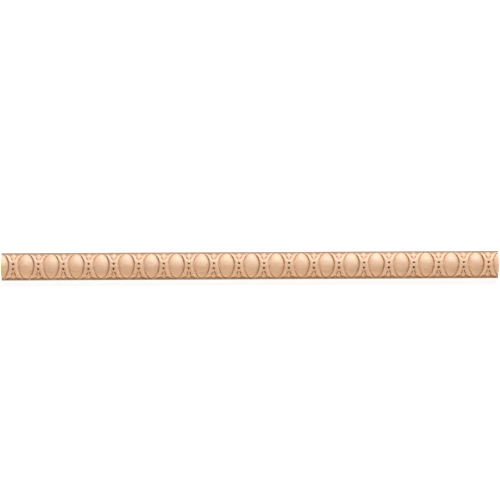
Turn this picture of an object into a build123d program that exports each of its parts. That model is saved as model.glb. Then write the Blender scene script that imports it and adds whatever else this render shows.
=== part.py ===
"""Egg-and-dart wood strip: one length of hardwood trim, carved on its face.

The strip lies on its flat back. X runs along the strip, Y across it and Z up to the carved face.
A rounded face stands above a sunk ground and two flat ledges. Eggs fill egg-shaped sockets along
the face. Each socket is ringed by a raised shell, and neighbouring shells meet at a dart with two eyes.
"""

import os

from build123d import *

# Stock
strip_length = 457.2  # end to end
strip_width = 25.4  # edge to edge
strip_thickness = 9.5  # back to the crown of the eggs
edge_thickness = 4.2  # back to the ledges
ledge_width = 1.3  # flat ledge along each long edge

# Ground: the sunk floor between the carvings, which slopes down from a hidden ridge to both ledges
ground_rise = 1.5  # ledge to the ridge

# Face: the rounded top of the shells and darts
face_rise = 4.2  # ledge to the middle of the face
face_foot = 0.9  # ledge to the ends of the face
face_margin = 0.5  # ledge to the ends of the face, across the strip

# Repeat
pitch = 23.0  # one dart to the next
first_dart = 11.0  # left end to the first dart

# Egg: a large ball and a smaller one, joined by the cone that touches both
large_ball_radius = 10.1
large_ball_offset = 1.9  # middle of the strip to the large ball's centre, towards +Y
small_ball_radius = 9.9
small_ball_offset = 2.6  # middle of the strip to the small ball's centre, towards -Y
small_ball_drop = 0.35  # large ball's centre down to the small ball's

# Shell: round outside, egg-shaped socket inside
shell_radius = 11.4
socket_half_width = 7.5
socket_widest = 1.2  # middle of the strip to the socket's widest line
socket_top_half_width = 3.0  # where the socket runs out at the upper end of the face
socket_bottom_half_width = 2.6  # where it runs out at the lower end

# Dart: double-ended, with a broad waist, narrow necks and pointed ends
waist_half_width = 1.3
waist_half_length = 4.4
neck_half_width = 0.55
neck_offset = 5.8  # middle of the strip to each neck
shoulder_half_width = 1.75
shoulder_offset = 8.6  # middle of the strip to each shoulder

# Eyes: tapered pits with few sides, two on each dart
eye_radius = 0.95
eye_floor_radius = 0.6
eye_depth = 2.0
eye_sides = 10
eye_offset = 2.25  # middle of the strip to each eye

# Places worked out from the sizes above
bead_half_width = strip_width / 2 - ledge_width
face_half_width = bead_half_width - face_margin
first_dart_x = first_dart - strip_length / 2
dart_count = int((strip_length - first_dart) / pitch) + 1
dart_places = [first_dart_x + n * pitch for n in range(dart_count)]
egg_places = [first_dart_x + (n - 0.5) * pitch for n in range(dart_count + 1)]


def ground_bar():
    """The stock below the carvings: flat back, ledges and sunk ground."""
    edge_y = strip_width / 2
    with BuildSketch(Plane.YZ) as section:
        with BuildLine():
            Polyline(
                (-edge_y, 0),
                (edge_y, 0),
                (edge_y, edge_thickness),
                (bead_half_width, edge_thickness),
                (0, edge_thickness + ground_rise),
                (-bead_half_width, edge_thickness),
                (-edge_y, edge_thickness),
                close=True,
            )
        make_face()
    return extrude(section.sketch, amount=strip_length / 2, both=True)


def face_bar(length):
    """A bar along X with the rounded face of the carvings for its top."""
    foot_z = edge_thickness + face_foot
    left, right = (-face_half_width, foot_z), (face_half_width, foot_z)
    with BuildSketch(Plane.YZ) as section:
        with BuildLine():
            Polyline(left, (-face_half_width, 0), (face_half_width, 0), right)
            ThreePointArc(right, (0, edge_thickness + face_rise), left)
        make_face()
    return extrude(section.sketch, amount=length / 2, both=True)


def egg():
    """An egg lying along Y: its half outline, turned about the line through both balls' centres."""
    large_centre = Vector(0, large_ball_offset, strip_thickness - large_ball_radius)
    small_centre = Vector(0, -small_ball_offset, large_centre.Z - small_ball_drop)
    axis = Axis(large_centre, small_centre - large_centre)
    spacing = (small_centre - large_centre).length
    taper = (large_ball_radius - small_ball_radius) / spacing  # sine of the cone's half angle
    reach = (1 - taper**2) ** 0.5
    broad_end = (-large_ball_radius, 0)
    broad_touch = (large_ball_radius * taper, large_ball_radius * reach)
    narrow_touch = (spacing + small_ball_radius * taper, small_ball_radius * reach)
    narrow_end = (spacing + small_ball_radius, 0)
    with BuildSketch(Plane(large_centre, x_dir=axis.direction, z_dir=(1, 0, 0))) as half_outline:
        with BuildLine():
            TangentArc(broad_end, broad_touch, tangent=(0, 1))
            Line(broad_touch, narrow_touch)
            TangentArc(narrow_end, narrow_touch, tangent=(0, 1))
            Line(broad_end, narrow_end)
        make_face()
    return revolve(half_outline.sketch, axis=axis)


def socket_outline():
    """Egg-shaped face, open at both ends of the carved face."""
    top = (socket_top_half_width, face_half_width)
    widest = (socket_half_width, socket_widest)
    bottom = (socket_bottom_half_width, -face_half_width)
    with BuildSketch() as outline:
        with BuildLine() as half:
            Line((0, face_half_width), top)
            TangentArc(widest, top, tangent=(0, 1))
            TangentArc(widest, bottom, tangent=(0, -1))
            Line(bottom, (0, -face_half_width))
            mirror(half.line, about=Plane.YZ)
        make_face()
    return outline.sketch


def dart_outline():
    """Face of the double-ended dart, drawn as a quarter and mirrored twice."""
    with BuildSketch() as outline:
        with BuildLine() as quarter:
            Polyline(
                (waist_half_width, 0),
                (waist_half_width, waist_half_length),
                (neck_half_width, neck_offset),
                (shoulder_half_width, shoulder_offset),
                (0, face_half_width),
            )
            mirror(quarter.line, about=Plane.YZ)
            mirror(quarter.line, about=Plane.XZ)
        make_face()
    return outline.sketch


def dart_and_shells():
    """The carvings between two neighbouring eggs: a dart, and half a shell on each side of it."""
    outline = dart_outline()
    for side in (-1, 1):
        outline += Pos(side * pitch / 2, 0) * Circle(shell_radius)
    for side in (-1, 1):
        outline -= Pos(side * pitch / 2, 0) * socket_outline()
    field = Rectangle(pitch, 2 * face_half_width)
    block = extrude(outline & field, amount=strip_thickness)
    return block & face_bar(2 * pitch)


def eyes():
    """The two pits of a dart, run out upward past the face."""
    face_drop = face_rise - face_foot
    face_radius = (face_half_width**2 + face_drop**2) / (2 * face_drop)
    mouth_z = edge_thickness + face_rise - face_radius + (face_radius**2 - eye_offset**2) ** 0.5
    run_out = eye_radius
    taper = (eye_radius - eye_floor_radius) / eye_depth
    floor = Pos(0, 0, -eye_depth) * RegularPolygon(eye_floor_radius, eye_sides)
    mouth = Pos(0, 0, run_out) * RegularPolygon(eye_radius + taper * run_out, eye_sides)
    pit = loft([floor, mouth], ruled=True)
    return [Pos(0, side * eye_offset, mouth_z) * pit for side in (-1, 1)]


def carved_strip():
    """Ground, carvings and eggs in one piece, trimmed to the stock, with the eyes cut last."""
    one_unit = dart_and_shells()
    one_egg = egg()
    one_pair = eyes()
    units = [Pos(x, 0, 0) * one_unit for x in dart_places]
    eggs = [Pos(x, 0, 0) * one_egg for x in egg_places]
    pits = [Pos(x, 0, 0) * pit for x in dart_places for pit in one_pair]
    clear_height = 2 * strip_thickness  # trims the ends, edges and back, and stays off the crowns
    stock = Box(strip_length, strip_width, clear_height, align=(Align.CENTER, Align.CENTER, Align.MIN))
    return (ground_bar().fuse(*units, *eggs) & stock) - pits


os.makedirs("parts", exist_ok=True)
export_step(carved_strip(), "parts/carved_strip.step")
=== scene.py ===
import math

import bpy
import numpy as np
from mathutils import Matrix, Vector


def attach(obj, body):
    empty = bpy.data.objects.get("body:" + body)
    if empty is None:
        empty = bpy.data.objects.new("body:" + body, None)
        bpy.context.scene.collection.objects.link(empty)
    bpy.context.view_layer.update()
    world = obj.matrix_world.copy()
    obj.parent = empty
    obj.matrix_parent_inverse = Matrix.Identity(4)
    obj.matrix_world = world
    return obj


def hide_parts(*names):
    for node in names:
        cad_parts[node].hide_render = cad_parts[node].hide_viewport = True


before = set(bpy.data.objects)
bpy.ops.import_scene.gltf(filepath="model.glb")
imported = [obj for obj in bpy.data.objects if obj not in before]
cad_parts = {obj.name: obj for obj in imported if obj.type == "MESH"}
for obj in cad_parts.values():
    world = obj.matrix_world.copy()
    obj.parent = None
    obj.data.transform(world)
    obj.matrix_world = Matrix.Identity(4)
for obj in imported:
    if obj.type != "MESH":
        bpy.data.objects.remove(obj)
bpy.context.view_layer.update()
mm = 0.001
print("frame loaded:", ", ".join(sorted(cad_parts)))


# The strip lies on its flat back, X along it. Sizes are in millimetres, as in the part's source.
# v is a place across the strip, from its middle, and h the same on either side of the middle.
strip = {
    "length": 457.2,
    "width": 25.4,
    "crown": 9.48,  # back to the top of the eggs
    "ledgeHeight": 4.2,
    "ledgeWidth": 1.3,
    "groundRise": 1.5,  # ledges up to the middle of the sunk ground
    "groundEase": 0.14,  # rounding where the carvings meet the ground
    "faceRise": 4.2,  # ledges up to the middle of the rounded face
    "faceBend": 21.5,  # radius of the face, which ends 0.9 above the ledges
    "faceHold": 1.0,  # the round stops this far past the dart tips
    "ridge": 0.12,  # slope of the face away from the soft ridge along its middle
    "ridgeAt": 0.1,
    "ridgeEase": 0.3,
    "ridgeFade": 3.0,  # how far from the ridge its slope lasts
    "pitch": 23.0,
    "firstDart": 11.0,  # left end to the first dart
    "topArris": 0.3,  # rounding of the long upper edges
    "backArris": 0.15,  # chamfer of the long lower edges
    "sharpAngle": 58,  # edges steeper than this, in degrees, stay sharp
}

egg = {
    "lengthBend": 14.2,  # radius of the crown line across the strip
    "crownAt": 0.1,  # middle of the strip to the highest point
    "ridge": 0.08,
    "halfWidth": 7.2,
    "widestAt": 1.2,
    "upperReach": 10.5,  # widest line to where the outline closes
    "lowerReach": 12.2,
    "tipShare": 0.05,  # width left where it closes, as a share of the widest
    "sideDrop": 3.8,  # crown line down to the foot of the sides
    "footSlope": 6,  # below the foot
    "grooveEase": 0.12,  # rounding at the bottom of the groove round the egg
}

shell = {
    "radius": 11.4,
    "socketHalfWidth": 7.5,
    "socketWidest": 1.2,
    "upperBend": 12.70,  # radius of the socket's flank above its widest line
    "lowerBend": 17.39,
    "mouthSet": 0.40,  # socket line out to the top of its sloped wall
    "leftSlope": 1.7,  # the cutter leaves the wall on the left of each egg more open
    "rightSlope": 3.0,
    "innerEase": 0.36,
    "upperSlope": 1.8,  # walls outside the shells, shallow at the upper end, steep at the lower
    "lowerSlope": (5.0, 8.0),  # left and right of each dart
    "outerEase": 0.18,
    "armStart": (1.15, 5.2),  # corners of the shells' ends beside a dart head, from its middle
    "armCorner": (2.65, 8.4),
    "armEnd": (6.7, 10.4),
    "armBlend": 0.2,
    "upperTilt": 0.36,  # the rims lean away from their egg at the upper end
    "lowerTilt": -0.07,  # and a little towards it at the lower end
    "tiltFrom": (4.5, 7.0),  # where along the rims the lean comes in
    "tiltStart": 0.4,  # mouth of the socket to where the lean starts
    "tiltWidth": 2.5,
}

dart = {
    "waist": 1.3,
    "waistLength": 4.3,
    "neck": 0.55,
    "neckAt": 5.2,
    "shoulder": 2.05,
    "shoulderAt": 8.6,
    "headCurve": 1.35,  # above 1, the head widens late
    "tipCurve": 1.05,
    "tipAt": 10.9,
    "edgeLean": 0.85,  # allows for the slant of the heads' edges
    "ridge": 0.12,  # middle of the heads above their edges
    "ridgeFrom": (5.0, 7.0),  # where along the dart the ridge comes in
    "ridgeEdge": (0.05, 0.5),  # and how far inside the head
    "leastWidth": 0.3,
}

eye = {
    "radius": 1.1,
    "floorRadius": 0.85,
    "depth": 2.1,
    "drillPoint": 0.35,
    "offset": 2.25,
    "lean": 0.10,  # upper eyes sit this far to the right, lower ones to the left
    "lip": 0.05,
}

carving = {
    "seed": 11,
    "wander": 0.07,  # how far the cutter strays
    "chatter": 0.018,  # height of its ripples
    "waves": 9,
    "waveLength": 5.0,
    "waveSpread": (0.6, 1.6),
    "edgeFade": (0.3, 1.5),  # no ripples at the long edges
}

# where the mesh lines run, closer together along the carved edges
meshLines = {
    "middleRows": (0.0, 0.3, 0.6),
    "eyeRings": (0.0, 0.4, eye["floorRadius"], eye["radius"], 1.35),
    "eyeReach": 1.4,  # mesh cells are turned into rings up to here
    "neckRows": np.linspace(3.9, 7.3, 10),
    "headRows": np.linspace(7.7, 9.3, 5),
    "tipRows": np.linspace(9.65, 11.45, 9),
    "ledgeRows": (11.7, 12.1),
    "arrisShares": np.array([0.5, 0.13, 0.0]),
    "tipHold": 0.15,  # columns stop narrowing this far from the dart tips
    "webEnd": (3.6, 4.9),  # columns pass from the eyes' width to the dart's between these
    "leastDart": 0.25,
    "leastGroove": 0.35,
    "leastGap": 0.3,
    "grooveShares": (0, 0.13, 0.3, 0.5, 0.7, 0.87),
    "rimShares": (0, 0.12, 0.3, 0.55, 0.78, 0.92),
    "wallShares": (0, 0.28, 0.55, 0.8),
    "eggShares": (0, 0.02, 0.07, 0.16, 0.3, 0.47, 0.66, 0.84, 1),
}


def smoothMax(a, b, ease):
    return 0.5 * (a + b + np.sqrt((a - b) ** 2 + ease**2))


def smoothStep(a, b, t):
    t = np.clip((t - a) / (b - a), 0, 1)
    return t * t * (3 - 2 * t)


def fallOff(inside, slope, ease):  # drop from the face as a cut edge is passed
    return slope * ease * np.logaddexp(0, -inside / ease)


def ridgeDrop(v, slope):  # both sides fall away from the middle, less so towards the edges
    ease, fade = strip["ridgeEase"], strip["ridgeFade"]
    out = np.hypot(v - strip["ridgeAt"], ease) - ease
    return slope * fade * (1 - np.exp(-out / fade))


def faceHeight(v):
    bend = strip["faceBend"]
    held = np.minimum(np.abs(v), dart["tipAt"] + strip["faceHold"])
    arc = np.sqrt(bend**2 - held**2) - bend
    return strip["ledgeHeight"] + strip["faceRise"] + arc - ridgeDrop(v, strip["ridge"])


def groundHeight(v):
    beadHalf = strip["width"] / 2 - strip["ledgeWidth"]
    return strip["ledgeHeight"] + strip["groundRise"] * np.clip(1 - np.abs(v) / beadHalf, 0, 1)


def socketBend(v):
    return np.where(v > shell["socketWidest"], shell["upperBend"], shell["lowerBend"])


def pastSocket(a, v):  # how far outside the socket's line, at a from the egg's middle
    bend = socketBend(v)
    return np.hypot(a - (shell["socketHalfWidth"] - bend), v - shell["socketWidest"]) - bend


def socketHalfWidth(v):
    bend = socketBend(v)
    rise = np.clip(np.abs(v - shell["socketWidest"]), 0, bend - 0.01)  # stays on the circle
    return shell["socketHalfWidth"] - bend + np.sqrt(bend**2 - rise**2)


def armInside(d, h):  # the shells' ends reach in beside the dart heads, d from the dart's middle
    (d0, h0), (d1, h1), (d2, h2) = shell["armStart"], shell["armCorner"], shell["armEnd"]
    beside = ((d - d0) * (h1 - h0) - (h - h0) * (d1 - d0)) / math.hypot(d1 - d0, h1 - h0)
    below = ((d - d1) * (h2 - h1) - (h - h1) * (d2 - d1)) / math.hypot(d2 - d1, h2 - h1)
    return np.minimum(beside, below)


def armEdge(h):
    reach, heights = zip(shell["armStart"], shell["armCorner"], shell["armEnd"])
    return np.interp(h, heights, reach)


def dartHalfWidth(v):
    h = np.abs(v)
    neckAt, shoulderAt = dart["neckAt"], dart["shoulderAt"]
    toNeck = smoothStep(dart["waistLength"], neckAt, h)
    toShoulder = np.clip((h - neckAt) / (shoulderAt - neckAt), 0, 1) ** dart["headCurve"]
    toTip = np.clip((h - shoulderAt) / (dart["tipAt"] - shoulderAt), 0, 1) ** dart["tipCurve"]
    body = dart["waist"] + (dart["neck"] - dart["waist"]) * toNeck
    body = body + (dart["shoulder"] - dart["neck"]) * toShoulder
    return body * (1 - toTip)


def eggHalfWidth(v):
    reach = np.where(v > egg["widestAt"], egg["upperReach"], egg["lowerReach"])
    left = np.clip(1 - ((v - egg["widestAt"]) / reach) ** 2, egg["tipShare"] ** 2, 1)
    return egg["halfWidth"] * np.sqrt(left)


def eggHeight(u, v):  # an oval section carried along a round crown line, u from the egg's middle
    bend = egg["lengthBend"]
    crownLine = strip["crown"] - bend
    crownLine = crownLine + np.sqrt(np.maximum(bend**2 - (v - egg["crownAt"]) ** 2, 0))
    crownLine = crownLine - ridgeDrop(v, egg["ridge"])
    out = np.abs(u) / eggHalfWidth(v)
    past = np.maximum(out - 1, 0) * egg["halfWidth"] * egg["footSlope"]
    return crownLine - egg["sideDrop"] * (1 - np.sqrt(np.clip(1 - out**2, 0, 1))) - past


def ripples(x, v, rng):  # fine waves left by the cutter
    total = np.zeros(x.shape)
    for _ in range(carving["waves"]):
        angle, phase = rng.uniform(0, 2 * math.pi, 2)
        length = carving["waveLength"] * rng.uniform(*carving["waveSpread"])
        onward = x * math.cos(angle) + v * math.sin(angle)
        total += np.sin(onward * 2 * math.pi / length + phase)
    return total / math.sqrt(carving["waves"]) * carving["chatter"]


def crossRows():  # places of the mesh lines across the strip
    edge, arris = strip["width"] / 2, strip["topArris"]
    fromEye = np.array(meshLines["eyeRings"])
    half = np.concatenate([
        meshLines["middleRows"],
        eye["offset"] - fromEye[::-1],
        eye["offset"] + fromEye[1:],
        meshLines["neckRows"],
        meshLines["headRows"],
        meshLines["tipRows"],
        meshLines["ledgeRows"],
        [edge - arris],
        edge - arris * meshLines["arrisShares"],
    ])
    return np.concatenate([-half[:0:-1], half])


def spread(start, end, shares):
    return start[:, None] + (end - start)[:, None] * np.asarray(shares)[None, :]


def halfColumns(v, reach):  # mesh lines along the carved edges, from a dart to the middle of an egg
    h = np.minimum(np.abs(v), dart["tipAt"] - meshLines["tipHold"])
    held = np.sign(v) * h
    middle = strip["pitch"] / 2
    web = smoothStep(*meshLines["webEnd"], h)
    dartEdge = np.maximum(dartHalfWidth(h), meshLines["leastDart"])
    dartEdge = eye["radius"] * (1 - web) + dartEdge * web
    mouth = middle - socketHalfWidth(held) - shell["mouthSet"]
    outer = np.minimum(middle - np.sqrt(shell["radius"] ** 2 - h**2), armEdge(h))
    outer = smoothMax(outer, dartEdge + meshLines["leastGroove"], shell["armBlend"])
    outer = np.minimum(outer, mouth - meshLines["leastGroove"])
    groove = np.minimum(middle - eggHalfWidth(held), reach - meshLines["leastGap"])
    groove = np.maximum(groove, mouth + meshLines["leastGap"])
    ringShares = np.array(meshLines["eyeRings"][:3]) / eye["radius"]
    return np.concatenate([
        spread(0 * dartEdge, dartEdge, ringShares),
        spread(dartEdge, outer, meshLines["grooveShares"]),
        spread(outer, mouth, meshLines["rimShares"]),
        spread(mouth, groove, meshLines["wallShares"]),
        spread(groove, np.full(v.shape, reach), meshLines["eggShares"]),
    ], axis=1)


def roundEyes(along, across):  # turn the square mesh cells round each eye into rings
    side = np.where(across >= 0, 1.0, -1.0)
    du, dv = along, across - side * eye["offset"]
    square = np.maximum(np.abs(du), np.abs(dv))
    grip = 1 - smoothStep(eye["radius"], meshLines["eyeReach"], square)
    pull = 1 + grip * (square / np.maximum(np.hypot(du, dv), 1e-6) - 1)
    return du * pull + side * eye["lean"] * grip, dv * pull + side * eye["offset"]


def eyePits(along, across):  # tapered, with a shallow drill point
    side = np.where(across >= 0, 1.0, -1.0)
    out = np.hypot(along - side * eye["lean"], across - side * eye["offset"])
    taper = (eye["radius"] - out) / (eye["radius"] - eye["floorRadius"])
    pit = faceHeight(eye["offset"]) - eye["depth"] * np.clip(taper, -9, 1)  # -9 is well clear
    return pit - eye["drillPoint"] * np.clip(1 - out / eye["floorRadius"], 0, 1)


def carvedHeight(along, across, cell, x):  # along is measured from the nearest dart
    rng = np.random.RandomState(carving["seed"])
    # how far each egg strays along and across, then its socket, then the dart
    wander = rng.uniform(-1, 1, (64, 4)) * carving["wander"]
    right, h = along > 0, np.abs(across)
    eggIndex = cell + right
    a = strip["pitch"] / 2 - np.abs(along)
    u = np.where(right, -a, a)
    egged = eggHeight(u - wander[eggIndex, 0], across - wander[eggIndex, 1])

    # how far each point is inside the rim, the shell, the dart and the end of the face
    inRim = pastSocket(a + wander[eggIndex, 2], across) - shell["mouthSet"]
    inShell = np.maximum(shell["radius"] - np.hypot(a, across), armInside(np.abs(along), h))
    inDart = (dartHalfWidth(across) - np.abs(along + wander[cell, 3])) * dart["edgeLean"]
    inside = np.minimum(np.maximum(inShell, inDart), dart["tipAt"] - h)

    heads = smoothStep(*dart["ridgeFrom"], h) * smoothStep(*dart["ridgeEdge"], inDart - inShell)
    fromRidge = np.abs(along) / np.maximum(dartHalfWidth(across), dart["leastWidth"])
    tilt = np.where(across > 0, shell["upperTilt"], shell["lowerTilt"])
    lean = tilt * np.clip(inRim - shell["tiltStart"], 0, shell["tiltWidth"])
    lean = lean * smoothStep(*shell["tiltFrom"], h)
    lean = lean * smoothStep(-shell["armBlend"], shell["armBlend"], inShell - inDart)
    outerSlope = np.where(right, shell["lowerSlope"][1], shell["lowerSlope"][0])
    outerSlope = np.where(across > 0, shell["upperSlope"], outerSlope)
    innerSlope = np.where(right, shell["leftSlope"], shell["rightSlope"])

    raised = faceHeight(across) - dart["ridge"] * heads * fromRidge - lean
    raised -= fallOff(inside, outerSlope, shell["outerEase"])
    raised -= fallOff(inRim, innerSlope, shell["innerEase"])
    height = smoothMax(groundHeight(across), raised, strip["groundEase"])
    height = smoothMax(height, egged, egg["grooveEase"])
    height += ripples(x, across, rng) * smoothStep(*carving["edgeFade"], strip["width"] / 2 - h)
    return -smoothMax(-height, -eyePits(along, across), eye["lip"])


def makeStrip():
    halfLength, edge = strip["length"] / 2, strip["width"] / 2
    rows = crossRows()
    dartCount = int((strip["length"] - strip["firstDart"]) / strip["pitch"]) + 1
    places = strip["firstDart"] - halfLength + strip["pitch"] * np.arange(dartCount)
    along, cells = [], []
    for n, place in enumerate(places):
        left = halfColumns(rows, min(strip["pitch"] / 2, place + halfLength))
        right = halfColumns(rows, min(strip["pitch"] / 2, halfLength - place))
        unit = np.concatenate([-left[:, ::-1][:, (1 if n else 0):], right[:, 1:]], axis=1)
        along.append(unit)
        cells.append(np.full(unit.shape, n))
    along, cells = np.concatenate(along, axis=1), np.concatenate(cells, axis=1)
    along, across = roundEyes(along, np.repeat(rows[:, None], along.shape[1], axis=1))
    x = along + places[cells]
    z = carvedHeight(along, across, cells, x)
    arris = strip["topArris"]
    past = np.clip(np.abs(across) - (edge - arris), 0, arris)
    z -= arris - np.sqrt(arris**2 - past**2)
    z = np.minimum(z, strip["crown"])
    print("carved face:", x.shape[0], "by", x.shape[1], "points")

    # down both sides to the back, so that each column of points runs right round the strip
    foot, chamfer = np.ones((1, x.shape[1])), strip["backArris"]
    sides = [(edge - chamfer, 0.0), (edge, chamfer), (edge, 0.5 * strip["ledgeHeight"])]
    near, far = [(-y, h) for y, h in sides], sides[::-1]
    xs = np.concatenate([x[:1]] * len(near) + [x] + [x[-1:]] * len(far))
    ys = np.concatenate([y * foot for y, _ in near] + [across] + [y * foot for y, _ in far])
    zs = np.concatenate([h * foot for _, h in near] + [z] + [h * foot for _, h in far])
    count, columns = xs.shape
    points = np.stack([xs, ys, zs], axis=-1).reshape(-1, 3) * mm

    index = np.arange(count * columns).reshape(count, columns)
    around = np.concatenate([index, index[:1]])
    corners = [around[:-1, :-1], around[:-1, 1:], around[1:, 1:], around[1:, :-1]]
    faces = np.stack(corners, axis=-1).reshape(-1, 4).tolist()
    finish = np.zeros(len(faces), np.int32)  # 0 is the face and sides
    finish[-(columns - 1):] = 1  # the back
    rounded = np.ones((count, columns - 1), bool)
    rounded[[0, count - 2, count - 1]] = False  # the back and its chamfers stay flat
    faces += [index[:, 0].tolist(), index[:, -1].tolist()[::-1]]  # the two sawn ends
    mesh = bpy.data.meshes.new("carvedStrip")
    mesh.from_pydata(points.tolist(), [], faces)
    mesh.polygons.foreach_set("material_index", np.append(finish, [2, 2]).astype(np.int32))
    mesh.set_sharp_from_angle(angle=math.radians(strip["sharpAngle"]))
    mesh.polygons.foreach_set("use_smooth", np.append(rounded.ravel(), [False, False]))
    mesh.update()
    piece = bpy.data.objects.new("carvedStrip", mesh)
    bpy.context.scene.collection.objects.link(piece)
    return piece


def addNode(tree, kind, **settings):
    node = tree.nodes.new(kind)
    for name, value in settings.items():
        setattr(node, name, value)
    return node


def plug(tree, value, socket):  # numbers and colours are set, other nodes' outputs are linked
    if isinstance(value, (int, float, tuple)):
        socket.default_value = value
    else:
        tree.links.new(value, socket)


def calc(tree, operation, a, b=None, clamp=False):
    node = addNode(tree, "ShaderNodeMath", operation=operation, use_clamp=clamp)
    plug(tree, a, node.inputs[0])
    if b is not None:
        plug(tree, b, node.inputs[1])
    return node.outputs[0]


def mixColour(tree, blend, factor, a, b):
    node = addNode(tree, "ShaderNodeMix", data_type="RGBA", blend_type=blend)
    for socket, value in ((0, factor), (6, a), (7, b)):  # the colour sockets of this node
        plug(tree, value, node.inputs[socket])
    return node.outputs[2]


def rangeMask(tree, value, start, end):  # 0 at start, 1 at end
    node = addNode(tree, "ShaderNodeMapRange", interpolation_type="SMOOTHSTEP")
    for socket, setting in zip(node.inputs, (value, start, end)):
        plug(tree, setting, socket)
    return node.outputs[0]


def hypotenuse(tree, a, b):
    squares = calc(tree, "ADD", calc(tree, "MULTIPLY", a, a), calc(tree, "MULTIPLY", b, b))
    return calc(tree, "SQRT", squares)


def solidPlace(tree):  # where a point is in the wood, in metres
    return addNode(tree, "ShaderNodeTexCoord").outputs["Object"]


def splitPlace(tree, place):
    apart = addNode(tree, "ShaderNodeSeparateXYZ")
    tree.links.new(place, apart.inputs[0])
    return apart.outputs


def colour(red, green, blue):  # screen values, 0 to 255
    def linear(c):
        c /= 255
        return c / 12.92 if c <= 0.04045 else ((c + 0.055) / 1.055) ** 2.4
    return (linear(red), linear(green), linear(blue), 1.0)


# figure of the wood, in millimetres: rings round a pith below the strip, fibres and flecks along X
beech = {
    "inputs": {"Ring Width": 3.2, "Ring Wave": 1.6, "Fibre Length": 40.0, "Fleck Size": 1.0},
    "outputs": ("Rings", "Streaks", "Fibres", "Flecks", "Cloud"),
    "pith": (16.0, 34.0),  # beside the strip and below it
    "waveStretch": (0.012, 0.09, 0.09),  # noise turns for each millimetre along, across and up
    "waveDetail": 2.0,
    "waveGain": 6.0,
    "lateRise": 3.0,  # how late in a ring the dark wood starts
    "lateReturn": 0.93,  # where in a ring it ends
    "streakStretch": (0.045, 0.8, 0.8),
    "streakDetail": 2.0,
    "fibreStretch": 2.4,
    "fibreDetail": 4.0,
    "fibreRoughness": 0.6,
    "fleckStretch": (0.55, 3.6, 3.6),
    "fleckEdge": (0.34, 0.12),
    "cloudStretch": (0.016, 0.16, 0.16),
    "cloudDetail": 3.0,
}


def makeFigure():
    group = bpy.data.node_groups.new("beechFigure", "ShaderNodeTree")
    newSocket = group.interface.new_socket
    for name, value in beech["inputs"].items():
        newSocket(name, in_out="INPUT", socket_type="NodeSocketFloat").default_value = value
    for name in beech["outputs"]:
        newSocket(name, in_out="OUTPUT", socket_type="NodeSocketFloat")
    ins, outs = addNode(group, "NodeGroupInput"), addNode(group, "NodeGroupOutput")
    link = group.links.new
    scaled = addNode(group, "ShaderNodeVectorMath", operation="SCALE")
    scaled.inputs["Scale"].default_value = 1 / mm
    link(solidPlace(group), scaled.inputs[0])
    x, y, z = splitPlace(group, scaled.outputs[0])

    def stretched(amounts):
        node = addNode(group, "ShaderNodeVectorMath", operation="MULTIPLY")
        link(scaled.outputs[0], node.inputs[0])
        node.inputs[1].default_value = amounts
        return node.outputs[0]

    def joined(*parts):
        node = addNode(group, "ShaderNodeCombineXYZ")
        for part, socket in zip(parts, node.inputs):
            link(part, socket)
        return node.outputs[0]

    def noise(vector, detail, roughness=0.5):
        node = addNode(group, "ShaderNodeTexNoise")
        node.inputs["Scale"].default_value = 1.0
        node.inputs["Detail"].default_value = detail
        node.inputs["Roughness"].default_value = roughness
        link(vector, node.inputs["Vector"])
        return node.outputs[0]

    # rings, with a slow rise to the dark late wood and a sharp return
    beside, below = beech["pith"]
    radius = hypotenuse(group, calc(group, "ADD", y, beside), calc(group, "ADD", z, below))
    drift = noise(stretched(beech["waveStretch"]), beech["waveDetail"])
    drift = calc(group, "SUBTRACT", drift, 0.5)
    gain = calc(group, "MULTIPLY", ins.outputs["Ring Wave"], beech["waveGain"])
    radius = calc(group, "ADD", radius, calc(group, "MULTIPLY", drift, gain))
    part = calc(group, "FRACT", calc(group, "DIVIDE", radius, ins.outputs["Ring Width"]))
    late = calc(group, "POWER", part, beech["lateRise"])
    late = calc(group, "MULTIPLY", late, rangeMask(group, part, 1.0, beech["lateReturn"]))
    link(late, outs.inputs["Rings"])

    # streaks a millimetre or so wide, and the finer fibres
    streaks = noise(stretched(beech["streakStretch"]), beech["streakDetail"])
    link(streaks, outs.inputs["Streaks"])
    perLength = calc(group, "DIVIDE", 1.0, ins.outputs["Fibre Length"])
    fibre = joined(
        calc(group, "MULTIPLY", x, perLength),
        calc(group, "MULTIPLY", y, beech["fibreStretch"]),
        calc(group, "MULTIPLY", z, beech["fibreStretch"]),
    )
    fibre = noise(fibre, beech["fibreDetail"], beech["fibreRoughness"])
    link(fibre, outs.inputs["Fibres"])

    # flecks, short dark dashes
    dash = addNode(group, "ShaderNodeVectorMath", operation="DIVIDE")
    link(stretched(beech["fleckStretch"]), dash.inputs[0])
    link(joined(*[ins.outputs["Fleck Size"]] * 3), dash.inputs[1])
    spots = addNode(group, "ShaderNodeTexVoronoi", feature="F1")
    spots.inputs["Scale"].default_value = 1.0
    link(dash.outputs[0], spots.inputs["Vector"])
    link(rangeMask(group, spots.outputs["Distance"], *beech["fleckEdge"]), outs.inputs["Flecks"])

    cloud = noise(stretched(beech["cloudStretch"]), beech["cloudDetail"])
    link(cloud, outs.inputs["Cloud"])
    print("wood figure made")


figureShares = {"Cloud": 0.8, "Streaks": 1.5, "Fibres": 0.9}  # how much each one darkens the wood
plainTone = 0.3  # between early and late wood where nothing darkens it


def startMaterial(name):
    material = bpy.data.materials.new(name)
    material.use_nodes = True
    tree = material.node_tree
    shader = tree.nodes["Principled BSDF"]
    figure = addNode(tree, "ShaderNodeGroup", node_tree=bpy.data.node_groups["beechFigure"])
    return material, tree, shader, figure


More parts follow.
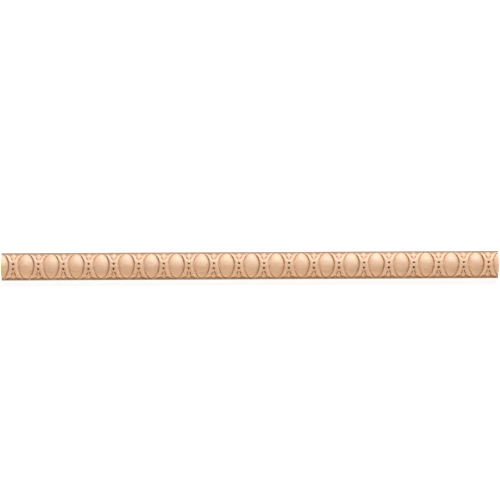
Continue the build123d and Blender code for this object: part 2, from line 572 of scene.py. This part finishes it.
def woodColour(tree, figure, finish):
    tone = calc(tree, "MULTIPLY", figure.outputs["Rings"], finish["ringShare"])
    for name, share in figureShares.items():
        part = calc(tree, "MULTIPLY", calc(tree, "SUBTRACT", figure.outputs[name], 0.5), share)
        tone = calc(tree, "ADD", tone, part)
    tone = calc(tree, "ADD", tone, plainTone, clamp=True)
    return mixColour(tree, "MIX", tone, finish["early"], finish["late"])


def fleckedColour(tree, figure, finish):
    flecks = calc(tree, "MULTIPLY", figure.outputs["Flecks"], finish["fleckShare"])
    return mixColour(tree, "MIX", flecks, woodColour(tree, figure, finish), finish["fleck"])


def roughFrom(tree, mask, finish):  # varies a little with the grain
    rough = calc(tree, "MULTIPLY", mask, finish["roughSpread"])
    return calc(tree, "ADD", rough, finish["roughness"])


def addBump(tree, shader, height, finish):
    bump = addNode(tree, "ShaderNodeBump")
    bump.inputs["Strength"].default_value = finish["grain"]
    bump.inputs["Distance"].default_value = finish["grainDepth"] * mm
    tree.links.new(height, bump.inputs["Height"])
    tree.links.new(bump.outputs[0], shader.inputs["Normal"])


# the carved face: pairs are where a mark starts and where it is full, in millimetres
faceFinish = {
    "early": colour(241, 196, 157),
    "late": colour(224, 172, 131),
    "ringShare": 0.55,
    "fleck": colour(176, 122, 82),
    "fleckShare": 0.32,
    "rimHighlight": colour(252, 201, 163),  # painted highlight on the rims of the shells
    "rimHighlightShare": 0.6,
    "rimHighlightOval": (8.6, 11.75),  # half width and half length of the oval that the rims follow
    "rimHighlightAt": 0.2,  # middle of the strip to the middle of the oval
    "rimHighlightInner": (0.93, 0.98),  # shares of the oval
    "rimHighlightOuter": (1.14, 1.06),
    "rimHighlightEnd": (10.0, 8.5),  # from the middle of the strip
    "lowShade": colour(208, 210, 212),  # painted shade, multiplies the sunk ground and ledges
    "lowShadeShare": 0.8,
    "lowShadeHeight": (4.45, 4.25),
    "groove": colour(196, 196, 194),  # painted shade, multiplies the deep grooves
    "grooveShadeDepth": (1.0, 2.2),  # below the face
    "grooveShadeFade": (-9.0, -3.0),  # less towards the lower edge
    # painted shade inside the eye pits
    "eye": colour(218, 136, 32),
    "eyeShadeShare": 0.9,
    "eyeHeight": (7.8, 6.2),
    "eyeAside": (1.6, 1.2),  # from the middle of the dart
    "eyeAcross": (4.0, 3.5),
    "roughness": 0.52,
    "roughSpread": 0.16,
    "cutRoughness": 0.2,  # added in the eyes and on the sunk ground and ledges
    "gloss": 0.85,
    "grain": 0.10,
    "grainDepth": 0.15,
    "fleckSink": 0.5,
}


def makeFaceWood():
    material, tree, shader, figure = startMaterial("carvedBeech")
    x, y, z = splitPlace(tree, solidPlace(tree))

    def markedBy(value, name):  # mask from a pair of millimetres
        start, end = faceFinish[name]
        return rangeMask(tree, value, start * mm, end * mm)

    fromStart = calc(tree, "ADD", x, (strip["length"] / 2 - strip["firstDart"]) * mm)
    turns = calc(tree, "DIVIDE", fromStart, strip["pitch"] * mm)
    turns = calc(tree, "FRACT", calc(tree, "ADD", turns, 0.5))
    fromDart = calc(tree, "ABSOLUTE", calc(tree, "SUBTRACT", turns, 0.5))  # in pitches, 0 to 0.5
    fromMiddle = calc(tree, "ABSOLUTE", y)
    base = fleckedColour(tree, figure, faceFinish)

    # painted highlight: the rims of the shells are made paler, along an oval round each egg
    halfWidth, halfLength = faceFinish["rimHighlightOval"]
    aside = calc(tree, "SUBTRACT", 0.5, fromDart)
    aside = calc(tree, "MULTIPLY", aside, strip["pitch"] / halfWidth)
    upward = calc(tree, "SUBTRACT", y, faceFinish["rimHighlightAt"] * mm)
    oval = hypotenuse(tree, aside, calc(tree, "DIVIDE", upward, halfLength * mm))
    litRims = rangeMask(tree, oval, *faceFinish["rimHighlightInner"])
    litRims = calc(tree, "MULTIPLY", litRims, rangeMask(tree, oval, *faceFinish["rimHighlightOuter"]))
    litRims = calc(tree, "MULTIPLY", litRims, markedBy(fromMiddle, "rimHighlightEnd"))
    litRims = calc(tree, "MULTIPLY", litRims, faceFinish["rimHighlightShare"])
    base = mixColour(tree, "MIX", litRims, base, faceFinish["rimHighlight"])

    # painted shade darkens and greys the sunk ground and ledges
    sunk = markedBy(z, "lowShadeHeight")
    lowShaded = calc(tree, "MULTIPLY", sunk, faceFinish["lowShadeShare"])
    base = mixColour(tree, "MULTIPLY", lowShaded, base, faceFinish["lowShade"])

    # painted shade makes the grooves darker, by their depth below the round of the face
    bend = strip["faceBend"] * mm
    arc = calc(tree, "SQRT", calc(tree, "SUBTRACT", bend**2, calc(tree, "MULTIPLY", y, y)))
    face = calc(tree, "ADD", arc, (strip["ledgeHeight"] + strip["faceRise"]) * mm - bend)
    grooveShade = markedBy(calc(tree, "SUBTRACT", face, z), "grooveShadeDepth")
    grooveShade = calc(tree, "MULTIPLY", grooveShade, markedBy(y, "grooveShadeFade"))
    base = mixColour(tree, "MULTIPLY", grooveShade, base, faceFinish["groove"])

    # painted shade: the eyes are darkened to brown inside
    near, full = faceFinish["eyeAside"]
    pit = rangeMask(tree, fromDart, near / strip["pitch"], full / strip["pitch"])
    pit = calc(tree, "MULTIPLY", pit, markedBy(fromMiddle, "eyeAcross"))
    pit = calc(tree, "MULTIPLY", markedBy(z, "eyeHeight"), pit)
    eyeShade = calc(tree, "MULTIPLY", pit, faceFinish["eyeShadeShare"])
    base = mixColour(tree, "MIX", eyeShade, base, faceFinish["eye"])
    tree.links.new(base, shader.inputs["Base Color"])

    shader.inputs["Specular IOR Level"].default_value = faceFinish["gloss"]
    cut = calc(tree, "MULTIPLY", calc(tree, "ADD", sunk, pit), faceFinish["cutRoughness"])
    rough = calc(tree, "ADD", roughFrom(tree, figure.outputs["Fibres"], faceFinish), cut)
    tree.links.new(rough, shader.inputs["Roughness"])
    sink = calc(tree, "MULTIPLY", figure.outputs["Flecks"], faceFinish["fleckSink"])
    addBump(tree, shader, calc(tree, "SUBTRACT", figure.outputs["Fibres"], sink), faceFinish)
    return material


backFinish = {
    "early": colour(230, 192, 156),
    "late": colour(212, 166, 128),
    "ringShare": 0.9,
    "fleck": colour(170, 118, 80),
    "fleckShare": 0.4,
    "fibreLength": 60.0,
    "roughness": 0.52,
    "roughSpread": 0.2,
    "grain": 0.18,
    "grainDepth": 0.2,
    "ripples": 110,  # of the planer, across the back
    "rippleDrift": 0.4,
    "rippleShare": 0.35,
}


def makeBackWood():
    material, tree, shader, figure = startMaterial("planedBack")
    figure.inputs["Fibre Length"].default_value = backFinish["fibreLength"]
    tree.links.new(fleckedColour(tree, figure, backFinish), shader.inputs["Base Color"])
    rough = roughFrom(tree, figure.outputs["Fibres"], backFinish)
    tree.links.new(rough, shader.inputs["Roughness"])
    ripple = addNode(tree, "ShaderNodeTexWave", wave_type="BANDS", bands_direction="X")
    ripple.inputs["Scale"].default_value = backFinish["ripples"]
    ripple.inputs["Distortion"].default_value = backFinish["rippleDrift"]
    tree.links.new(solidPlace(tree), ripple.inputs["Vector"])
    height = calc(tree, "MULTIPLY", ripple.outputs["Fac"], backFinish["rippleShare"])
    addBump(tree, shader, calc(tree, "ADD", height, figure.outputs["Fibres"]), backFinish)
    return material


endFinish = {
    "early": colour(214, 168, 128),
    "late": colour(186, 136, 96),
    "ringShare": 1.3,
    "fibreLength": 2.0,  # cut across
    "pore": colour(140, 94, 62),
    "poreShare": 0.5,
    "pores": 3200,  # to a metre
    "poreEdge": (0.34, 0.16),
    "roughness": 0.74,
    "roughSpread": 0.12,
    "grain": 0.3,
    "grainDepth": 0.12,
}


def makeEndWood():
    material, tree, shader, figure = startMaterial("sawnEnd")
    figure.inputs["Fibre Length"].default_value = endFinish["fibreLength"]
    pores = addNode(tree, "ShaderNodeTexVoronoi", feature="F1")
    pores.inputs["Scale"].default_value = endFinish["pores"]
    tree.links.new(solidPlace(tree), pores.inputs["Vector"])
    hole = rangeMask(tree, pores.outputs["Distance"], *endFinish["poreEdge"])
    dark = calc(tree, "MULTIPLY", hole, endFinish["poreShare"])
    base = mixColour(tree, "MIX", dark, woodColour(tree, figure, endFinish), endFinish["pore"])
    tree.links.new(base, shader.inputs["Base Color"])
    rough = roughFrom(tree, figure.outputs["Rings"], endFinish)
    tree.links.new(rough, shader.inputs["Roughness"])
    addBump(tree, shader, calc(tree, "SUBTRACT", figure.outputs["Fibres"], hole), endFinish)
    return material


# plain studio, in metres: a raking key from above the strip's upper edge and a low fill from below
endLamp = {"power": 7.0, "tint": (1.0, 1.0, 1.0), "size": (0.9, 0.16), "shines": False}
lamps = {
    "key": {
        "power": 88.5,
        "tint": (0.912, 0.99, 1.08),
        "place": (0.28, 2.08, 1.22),
        "size": (1.6, 0.8),
        "shines": True,  # shows in the wood's gloss
    },
    "fill": {
        "power": 50.5,
        "tint": (1.04, 1.0, 0.93),  # warm bounce off the bench
        "place": (-0.30, -2.10, 0.20),
        "size": (1.8, 0.36),
        "shines": False,
    },
    "left": dict(endLamp, place=(-2.1, -0.25, 0.09)),  # low lamps for the two sawn ends
    "right": dict(endLamp, place=(2.1, -0.25, 0.09)),
}


def addLamp(name, settings):
    lamp = bpy.data.lights.new(name, "AREA")
    lamp.shape, lamp.energy, lamp.color = "RECTANGLE", settings["power"], settings["tint"]
    lamp.size, lamp.size_y = settings["size"]
    holder = bpy.data.objects.new(name, lamp)
    holder.visible_glossy = settings["shines"]
    holder.location = settings["place"]
    holder.rotation_mode = "QUATERNION"
    holder.rotation_quaternion = (-Vector(settings["place"])).to_track_quat("-Z", "Y")
    bpy.context.scene.collection.objects.link(holder)


def seenDirectly(tree):  # 1 for rays from the camera and for reflections, 0 for light on the strip
    path = addNode(tree, "ShaderNodeLightPath").outputs
    mirrored = calc(tree, "MAXIMUM", path["Is Glossy Ray"], path["Is Transmission Ray"])
    return calc(tree, "MAXIMUM", path["Is Camera Ray"], mirrored)


backdrop = {
    "floorHalf": 4.0,
    "floorDrop": 0.05 * mm,  # keeps the floor clear of the strip's back
    "floorTone": 0.42,
    "floorGlow": 0.86,  # brings the floor up to white for the camera, and leaves the shadow
    "skyLevel": 0.04,
}


def makeFloor():
    half = backdrop["floorHalf"]
    corners = [(-half, -half, 0), (half, -half, 0), (half, half, 0), (-half, half, 0)]
    mesh = bpy.data.meshes.new("floor")
    mesh.from_pydata(corners, [], [(0, 1, 2, 3)])
    floor = bpy.data.objects.new("floor", mesh)
    floor.location.z = -backdrop["floorDrop"]
    bpy.context.scene.collection.objects.link(floor)
    material = bpy.data.materials.new("paleFloor")
    material.use_nodes = True
    tree = material.node_tree
    shader = tree.nodes["Principled BSDF"]
    tone = backdrop["floorTone"]
    shader.inputs["Base Color"].default_value = (tone, tone, tone, 1)
    shader.inputs["Roughness"].default_value = 1.0
    shader.inputs["Specular IOR Level"].default_value = 0.0
    shader.inputs["Emission Color"].default_value = (1, 1, 1, 1)
    glow = calc(tree, "MULTIPLY", seenDirectly(tree), backdrop["floorGlow"])
    tree.links.new(glow, shader.inputs["Emission Strength"])
    mesh.materials.append(material)


def makeSky():
    world = bpy.data.worlds.new("softSky")
    world.use_nodes = True
    bpy.context.scene.world = world
    tree = world.node_tree
    sky = tree.nodes["Background"]
    sky.inputs["Color"].default_value = (1, 1, 1, 1)
    level = addNode(tree, "ShaderNodeMix", data_type="FLOAT")
    tree.links.new(seenDirectly(tree), level.inputs[0])
    level.inputs[2].default_value, level.inputs[3].default_value = backdrop["skyLevel"], 1.0
    tree.links.new(level.outputs[0], sky.inputs["Strength"])


photoCamera = {
    "distance": 1.40,  # lens to the ledges
    "lens": 109.46,
    "sensor": 36.0,
    "clip": (0.05, 50),
    "middle": (-0.0003, 0.0144),  # the strip sits a little below the middle of the picture
    "yaw": -0.87,
    "roll": -0.27,
}


def makeCamera():
    data = bpy.data.cameras.new("photoCamera")
    data.lens, data.sensor_width = photoCamera["lens"], photoCamera["sensor"]
    data.sensor_fit = "AUTO"
    data.clip_start, data.clip_end = photoCamera["clip"]
    camera = bpy.data.objects.new("photoCamera", data)
    bpy.context.scene.collection.objects.link(camera)
    bpy.context.scene.camera = camera
    yaw, roll = math.radians(photoCamera["yaw"]), math.radians(photoCamera["roll"])
    target = Matrix.Translation((*photoCamera["middle"], strip["ledgeHeight"] * mm))
    turn = Matrix.Rotation(yaw, 4, "Y") @ Matrix.Rotation(roll, 4, "Z")
    camera.matrix_world = target @ turn @ Matrix.Translation((0, 0, photoCamera["distance"]))


makeFigure()
carved = makeStrip()
for made in (makeFaceWood(), makeBackWood(), makeEndWood()):
    carved.data.materials.append(made)
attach(carved, "root")
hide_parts("carved_strip")
print("strip finished:", len(carved.data.polygons), "faces")

makeFloor()
makeSky()
for lampName, lampSettings in lamps.items():
    addLamp(lampName, lampSettings)
makeCamera()
bpy.context.scene.view_settings.view_transform = "Standard"
print("studio and camera set")
